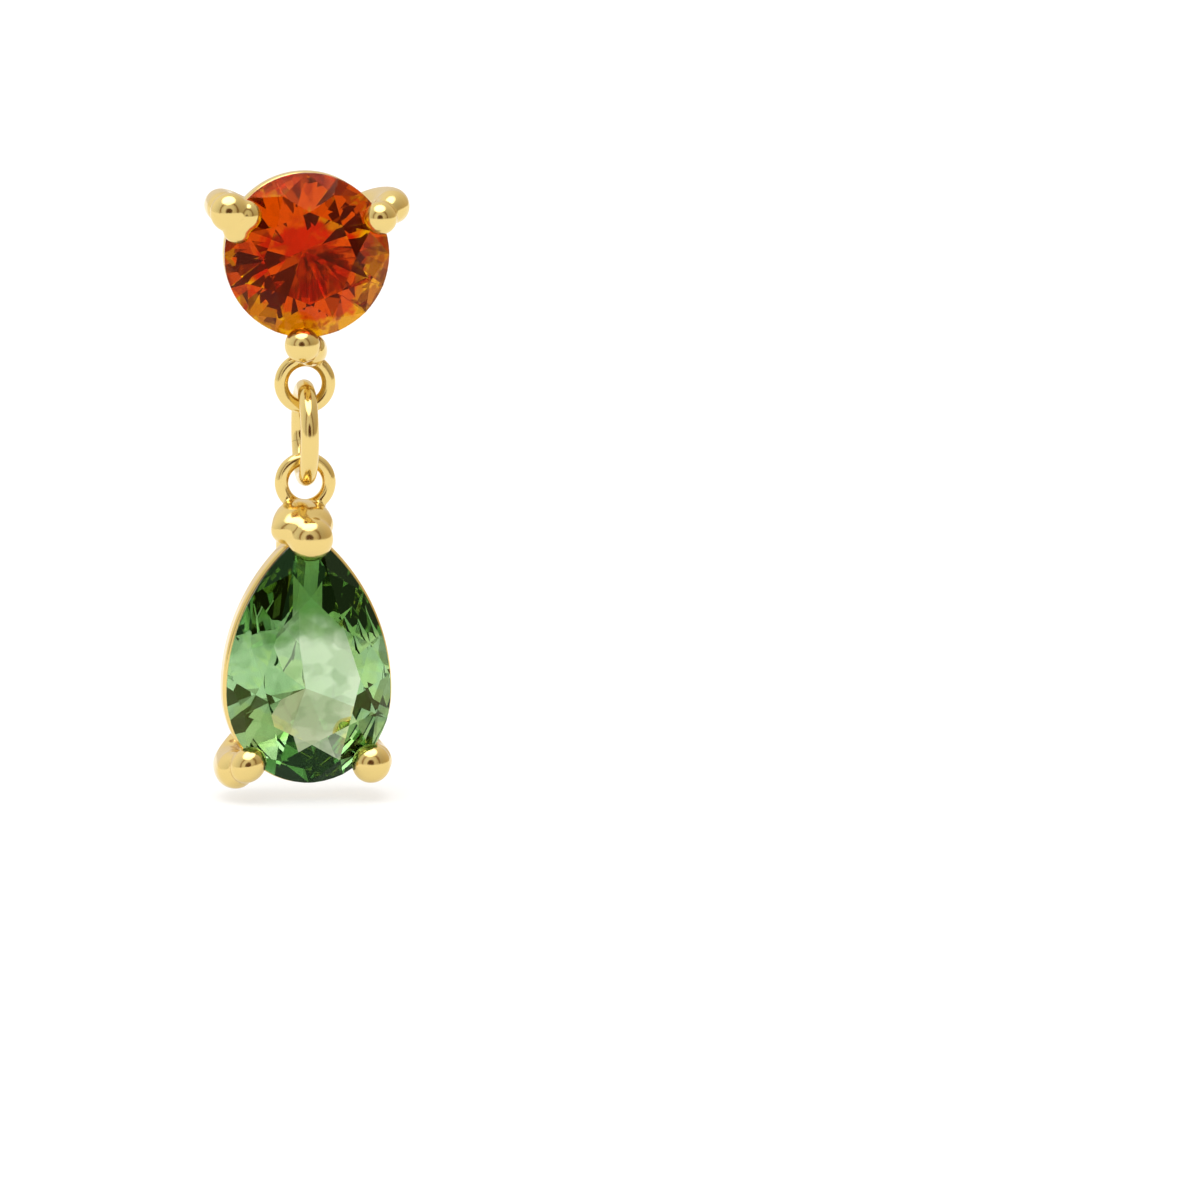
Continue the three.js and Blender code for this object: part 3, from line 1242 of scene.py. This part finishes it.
@dataclass(frozen=True)
class Gem(Finish):
    """A cut and polished stone."""

    slot: Slot
    seat: Seat
    zones: Zones
    depth_colour: tuple[float, float, float]
    density: float
    gloss: tuple[float, float, float]
    ior: float = 1.62

    def material(self) -> bpy.types.Material:
        """See Finish.material."""
        material = bpy.data.materials.new(f"cut_{self.slot.value}")
        material.use_nodes = True
        tree = material.node_tree
        zones = self.zones
        centre = Vector((0, self.seat.girdle_y, self.seat.centre_z)) + Vector(zones.centre)
        scale = Vector(1 / reach for reach in zones.reach)
        where = add_node(tree, "TexCoord").outputs["Object"]
        zoned = add_node(
            tree, "Mapping", {"Vector": where, "Scale": scale / MM, "Location": -centre * scale}
        )
        # The stone's colour, with its light and shade painted in
        colour = StoneZones().place(
            tree,
            {
                "Vector": zoned.outputs[0],
                "Core": (*zones.core, 1),
                "Rim": (*zones.rim, 1),
                # dark clouds of painted shade
                "Painted Shade": (*zones.painted_shade, 1),
                "Core Radius": zones.core_radius,
                "Rim Radius": zones.rim_radius,
                "Wander": zones.wander,
                "Painted Shade Scale": zones.painted_shade_scale,
                "Painted Shade Share": zones.painted_shade_share,
                # a mirrored pair of painted bright spots
                "Painted Light": (*zones.painted_light, 1),
                "Painted Light Place": zones.painted_light_place,
                "Painted Light Radius": zones.painted_light_radius,
            },
        )
        shader = tree.nodes["Principled BSDF"]
        tree.links.new(colour["Color"], shader.inputs["Base Color"])
        shader.inputs["Roughness"].default_value = 0.0
        shader.inputs["IOR"].default_value = self.ior
        shader.inputs["Specular Tint"].default_value = (*self.gloss, 1)
        shader.inputs["Transmission Weight"].default_value = 1
        volume = add_node(
            tree, "VolumeAbsorption", {"Color": (*self.depth_colour, 1), "Density": self.density}
        )
        tree.links.new(volume.outputs[0], tree.nodes["Material Output"].inputs["Volume"])
        return material


Shade = tuple[float, float, float]

# The tent's wall by the angle from the lens, in degrees: what the camera's side throws back
TENT_WALL: tuple[tuple[float, Shade], ...] = (
    (16, (0.11, 0.045, 0.02)),  # the lens in its hole
    (20, (0.84, 0.84, 0.84)),
    (41, (0.66, 0.66, 0.66)),
    (46.5, (0.26, 0.15, 0.05)),  # the seam round the front cloth
    (51, (0.26, 0.15, 0.05)),
    (55, (0.62, 0.62, 0.62)),
    (85, (0.78, 0.78, 0.78)),
    (120, (0.96, 0.96, 0.96)),
)


@dataclass(frozen=True)
class Studio:
    """The pale floor, the light tent and the camera. Lengths in millimetres, angles in degrees."""

    azimuth: float = -7.5
    elevation: float = 9.0
    distance: float = 420.0
    pixels_per_mm: float = 33.2
    picture: float = 1200.0
    stone_pixel: tuple[float, float] = (306.7, 255.0)
    floor_gap: float = 0.35
    floor_size: float = 6000.0
    floor_grey: float = 0.32
    floor_glow: float = 0.66
    sensor: float = 36.0
    top_light: float = 2.7
    top_side: tuple[float, float, float] = (-0.06, 0.93, 0.37)  # right, up and back
    top_reach: tuple[float, float] = (34, 25)  # angles from its middle where it starts and is full
    bright_side: tuple[float, float, float] = (-0.7, 0.65, 0.3)  # right, up and back
    bright_shade: Shade = (1.2, 1.2, 1.2)
    dim_shade: Shade = (0.58, 0.43, 0.22)

    def axes(self) -> tuple[Vector, Vector, Vector]:
        """The camera's right, up and back directions.

        Returns:
            Three unit vectors.
        """
        a, e = math.radians(self.azimuth), math.radians(self.elevation)
        right = Vector((math.cos(a), math.sin(a), 0))
        back = Vector((math.sin(a) * math.cos(e), -math.cos(a) * math.cos(e), math.sin(e)))
        return right, back.cross(right), back

    @staticmethod
    def toward(degrees: float) -> float:
        """How far a direction faces the camera.

        Args:
            degrees: Its angle from the camera's direction.

        Returns:
            1 toward the camera, 0 away from it.
        """
        return (1 + math.cos(math.radians(degrees))) / 2

    def place_camera(self, stone: Vector) -> None:
        """Adds the camera so that the round stone's middle falls on its pixel.

        Args:
            stone: The middle of the round stone's girdle.
        """
        right, up, back = self.axes()
        across, down = ((self.picture / 2 - pixel) / self.pixels_per_mm for pixel in self.stone_pixel)
        aim = stone + right * across - up * down
        deselect()
        bpy.ops.object.camera_add(location=(aim + back * self.distance) * MM)
        camera = bpy.context.active_object
        camera.rotation_euler = back.to_track_quat("Z", "Y").to_euler()
        camera.data.sensor_width = self.sensor
        camera.data.lens = self.sensor * self.distance * self.pixels_per_mm / self.picture
        camera.data.clip_start = 0.01
        camera.data.clip_end = 100.0
        bpy.context.scene.camera = camera

    def lay_floor(self, lowest: float) -> None:
        """Adds the floor just under the drop.

        Args:
            lowest: Height of the object's lowest point.
        """
        deselect()
        place = Vector((0, 0, lowest - self.floor_gap)) * MM
        bpy.ops.mesh.primitive_plane_add(size=self.floor_size * MM, location=place)
        floor = added("floor")
        bpy.ops.object.transform_apply()
        material = bpy.data.materials.new("floor_white")
        material.use_nodes = True
        shader = material.node_tree.nodes["Principled BSDF"]
        shader.inputs["Base Color"].default_value = (*(self.floor_grey,) * 3, 1)
        shader.inputs["Roughness"].default_value = 0.9
        shader.inputs["Emission Color"].default_value = (1, 1, 1, 1)
        shader.inputs["Emission Strength"].default_value = self.floor_glow
        floor.data.materials.append(material)
        floor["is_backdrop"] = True
        report(floor)

    def light(self) -> None:
        """Makes the light tent: pale sides, a bright top and a dark round hole for the lens."""
        world = bpy.data.worlds.new("light_tent")
        bpy.context.scene.world = world
        world.use_nodes = True
        tree = world.node_tree
        tree.nodes.clear()
        where = add_node(tree, "TexCoord").outputs["Generated"]

        def facing(side: Sequence[float]) -> bpy.types.NodeSocket:
            """The cosine of the angle from a direction given by its right, up and back parts."""
            middle = sum((axis * share for axis, share in zip(self.axes(), side)), Vector()).normalized()
            node = add_node(tree, "VectorMath", {0: where, 1: middle}, operation="DOT_PRODUCT")
            return node.outputs["Value"]

        turned = add_node(tree, "MapRange", {"Value": facing((0, 0, 1)), 1: -1.0, 2: 1.0})
        ramp = add_node(tree, "ValToRGB", {"Fac": turned.outputs[0]})
        for k, (degrees, shade) in enumerate(reversed(TENT_WALL)):
            place = self.toward(degrees)
            stop = ramp.color_ramp.elements[k] if k < 2 else ramp.color_ramp.elements.new(place)
            stop.position = place
            stop.color = (*shade, 1)
        side = add_node(tree, "MapRange", {"Value": facing(self.bright_side), 1: -1.0, 2: 1.0})
        shade = add_node(
            tree,
            "Mix",
            {0: side.outputs[0], 6: (*self.dim_shade, 1), 7: (*self.bright_shade, 1)},
            data_type="RGBA",
        )
        wall = add_node(
            tree, "VectorMath", {0: ramp.outputs[0], 1: shade.outputs["Result"]}, operation="MULTIPLY"
        )
        rim, full = (math.cos(math.radians(reach)) for reach in self.top_reach)
        top = add_node(
            tree,
            "MapRange",
            {"Value": facing(self.top_side), 1: rim, 2: full, 3: 0.0, 4: self.top_light},
            interpolation_type="SMOOTHSTEP",
        )
        light = add_node(tree, "VectorMath", {0: wall.outputs[0], 1: top.outputs[0]}, operation="ADD")
        background = add_node(tree, "Background", {"Color": light.outputs[0]})
        add_node(tree, "OutputWorld", {"Surface": background.outputs[0]})
        bpy.context.scene.view_settings.view_transform = "Standard"


def round_seat() -> Seat:
    """Measures the round stone.

    Returns:
        Its seat.
    """
    low, high = (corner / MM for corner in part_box("round_stone"))
    girdle = low.y + ROUND_CROWN_HEIGHT + GIRDLE_THICKNESS / 2
    return Seat("round_stone", RoundOutline(high.x - low.x), girdle, (low.z + high.z) / 2)


def pear_seat() -> Seat:
    """Measures the pear stone.

    Returns:
        Its seat.
    """
    low, high = (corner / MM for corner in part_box("pear_stone"))
    outline = PearOutline(high.x - low.x, high.z - low.z, PEAR_BELLY_HEIGHT, PEAR_TIP_RADIUS)
    girdle = low.y + PEAR_CROWN_HEIGHT + GIRDLE_THICKNESS / 2
    return Seat("pear_stone", outline, girdle, low.z + PEAR_BELLY_HEIGHT)


def orange_gem(seat: Seat) -> Gem:
    """The round stone's finish: a lighter amber edge and a deep red middle, painted light and shade over the
    stone's own colour.

    Args:
        seat: The round stone.

    Returns:
        The finish.
    """
    zones = Zones(
        # a deep red core and a lighter amber rim: painted light and shade
        core=(0.7, 0.024, 0.012),
        rim=(1.0, 0.66, 0.3),
        # maroon clouds: painted shade
        painted_shade=(0.32, 0.012, 0.02),
        core_radius=0.6,
        rim_radius=0.74,
        wander=0.9,
        painted_shade_scale=3.4,
        painted_shade_share=0.8,
        # pale amber painted light in a mirrored pair of bright spots
        painted_light=(0.98, 0.66, 0.24),
        painted_light_place=(0.42, 0, 0.86),
        painted_light_radius=0.36,
        centre=(0, -0.8, -0.42),
    )
    return Gem(Slot.ORANGE, seat, zones, (0.95, 0.88, 0.0), 1100, (0.45, 0.14, 0.07))


def green_gem(seat: Seat) -> Gem:
    """The pear stone's finish: a pale grey-green middle, painted light where light passes through, and a
    darker sea green and olive rim, painted shade.

    Args:
        seat: The pear stone.

    Returns:
        The finish.
    """
    zones = Zones(
        # a pale core where light passes through and a dark rim: painted light and shade
        core=(0.76, 0.81, 0.67),
        rim=(0.1, 0.24, 0.06),
        # dark green clouds: painted shade
        painted_shade=(0.1, 0.22, 0.04),
        core_radius=0.8,
        rim_radius=1.15,
        wander=0.9,
        painted_shade_scale=3.6,
        painted_shade_share=0.75,
        # pale yellow painted light by the bottom beads, for light thrown from the gold
        painted_light=(1.0, 1.0, 0.5),
        painted_light_place=(0.4, 0, 0.0),
        painted_light_radius=0.22,
        centre=(0.1, -0.8, -1.3),
        reach=(4.5, 8.0, 3.4),
    )
    return Gem(Slot.GREEN, seat, zones, (0.5, 0.78, 0.46), 310, (0.2, 0.6, 0.16))


def dress_stone(seat: Seat, finish: Finish) -> None:
    """Gives a CAD stone its finish.

    Args:
        seat: The stone.
        finish: Its finish.
    """
    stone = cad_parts[seat.node]
    finish.dress(stone)
    report(stone)


def main() -> None:
    """Builds the scene and reports each piece."""
    logging.basicConfig(level=logging.INFO, format="%(name)s: %(message)s")
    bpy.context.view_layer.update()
    stud, drop = round_seat(), pear_seat()
    cast, polish = Gold(GoldWork.CAST), Polish()
    StudHead(stud, polish).make(cast)
    JumpRing().make(Gold(GoldWork.DRAWN, smudge=0.04))
    PearHead(drop, polish).make(cast)
    dress_stone(stud, orange_gem(stud))
    dress_stone(drop, green_gem(drop))
    studio = Studio()
    studio.place_camera(Vector((0, stud.girdle_y, stud.centre_z)))
    studio.lay_floor(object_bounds()[0].z / MM)
    studio.light()


if __name__ == "__main__":
    main()
